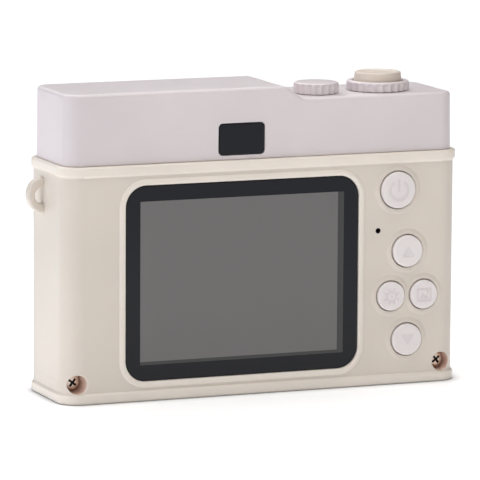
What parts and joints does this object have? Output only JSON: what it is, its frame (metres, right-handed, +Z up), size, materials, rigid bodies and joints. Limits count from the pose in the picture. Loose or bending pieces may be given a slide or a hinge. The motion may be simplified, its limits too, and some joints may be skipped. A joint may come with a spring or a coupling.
{
  "type": "kids digital camera",
  "caption": "Small toy digital camera with a rear screen and round keys, a stepped top with a shutter button and dials, a front lens and side strap lugs.",
  "frame": {"origin": "bottom centre of the bounding box, on the surface the camera stands on", "axes": "+Z up; the lens looks along -Y and the screen along +Y; +X is to the left of someone who looks at the screen"},
  "size_m": [0.1028, 0.0322, 0.0703],
  "materials": {
    "body_plastic": "fine satin, warm beige ABS",
    "housing_plastic": "soft gloss, pale lilac ABS",
    "key_plastic": "satin, pinkish white",
    "shutter_plastic": "fine matte, beige",
    "window_black": "polished, near black",
    "clear_window": "polished, milky clear",
    "lens_glass": "polished, coated",
    "black_plastic": "fine matte black",
    "lcd_glass": "polarised glass, unlit",
    "circuit_board": "green solder mask",
    "screw_steel": "zinc plated, warm grey",
    "sheet_steel": "rolled",
    "battery_foil": "satin foil pouch",
    "flex_film": "amber film",
    "led_phosphor": "yellow phosphor"
  },
  "bodies": {
    "body": {"battery": "battery_foil", "board_screw_1": "screw_steel", "board_screw_2": "screw_steel", "bracket_screw_1": "screw_steel", "bracket_screw_2": "screw_steel", "bracket_screw_3": "screw_steel", "bracket_screw_4": "screw_steel", "camera_board": "circuit_board", "camera_flex": "flex_film", "camera_module": "black_plastic", "card_slot": "black_plastic", "case_screw_left": "screw_steel", "case_screw_right": "screw_steel", "down_switch": "black_plastic", "flash_led": "led_phosphor", "flash_window": "clear_window", "front_shell": "body_plastic", "gallery_switch": "black_plastic", "lcd_bracket": "sheet_steel", "lcd_module": "lcd_glass", "lens_barrel": "body_plastic", "lens_cover": "lens_glass", "lens_nut": "black_plastic", "lens_trim_ring": "housing_plastic", "main_board": "circuit_board", "microphone": "black_plastic", "power_switch": "black_plastic", "rear_shell": "body_plastic", "screen_window": "window_black", "settings_switch": "black_plastic", "shutter_spring": "screw_steel", "shutter_switch": "black_plastic", "speaker": "black_plastic", "top_board": "circuit_board", "top_board_screw_1": "screw_steel", "top_board_screw_2": "screw_steel", "top_housing": "housing_plastic", "up_switch": "black_plastic", "usb_port": "sheet_steel", "viewfinder_front_window": "window_black", "viewfinder_rear_window": "window_black", "viewfinder_tube": "black_plastic"},
    "shutter": {"shutter_button": "shutter_plastic"},
    "small_dial": {"small_dial": "housing_plastic", "small_dial_clip": "screw_steel"},
    "shutter_ring": {"shutter_ring": "housing_plastic", "shutter_ring_clip": "screw_steel"},
    "power_key": {"power_button": "key_plastic"},
    "up_key": {"up_button": "key_plastic"},
    "settings_key": {"settings_button": "key_plastic"},
    "gallery_key": {"gallery_button": "key_plastic"},
    "down_key": {"down_button": "key_plastic"}
  },
  "joints": [
    {"name": "power_press", "type": "slide", "parent": "body", "child": "power_key", "axis": [0, -1, 0], "range_m": [0, 0.0006], "stiffness_N_per_m": 1500},
    {"name": "up_press", "type": "slide", "parent": "body", "child": "up_key", "axis": [0, -1, 0], "range_m": [0, 0.0006], "stiffness_N_per_m": 1500},
    {"name": "settings_press", "type": "slide", "parent": "body", "child": "settings_key", "axis": [0, -1, 0], "range_m": [0, 0.0006], "stiffness_N_per_m": 1500},
    {"name": "gallery_press", "type": "slide", "parent": "body", "child": "gallery_key", "axis": [0, -1, 0], "range_m": [0, 0.0006], "stiffness_N_per_m": 1500},
    {"name": "down_press", "type": "slide", "parent": "body", "child": "down_key", "axis": [0, -1, 0], "range_m": [0, 0.0006], "stiffness_N_per_m": 1500},
    {"name": "shutter_press", "type": "slide", "parent": "body", "child": "shutter", "axis": [0, 0, -1], "range_m": [0, 0.0012], "stiffness_N_per_m": 900, "deforming": ["shutter_spring"]},
    {"name": "small_dial_turn", "type": "hinge", "parent": "body", "child": "small_dial", "pos_m": [-0.01615, 0.00565, 0.0661], "axis": [0, 0, 1], "continuous": true},
    {"name": "shutter_ring_turn", "type": "hinge", "parent": "body", "child": "shutter_ring", "pos_m": [-0.03195, 0.00415, 0.0661], "axis": [0, 0, 1], "continuous": true}
  ]
}
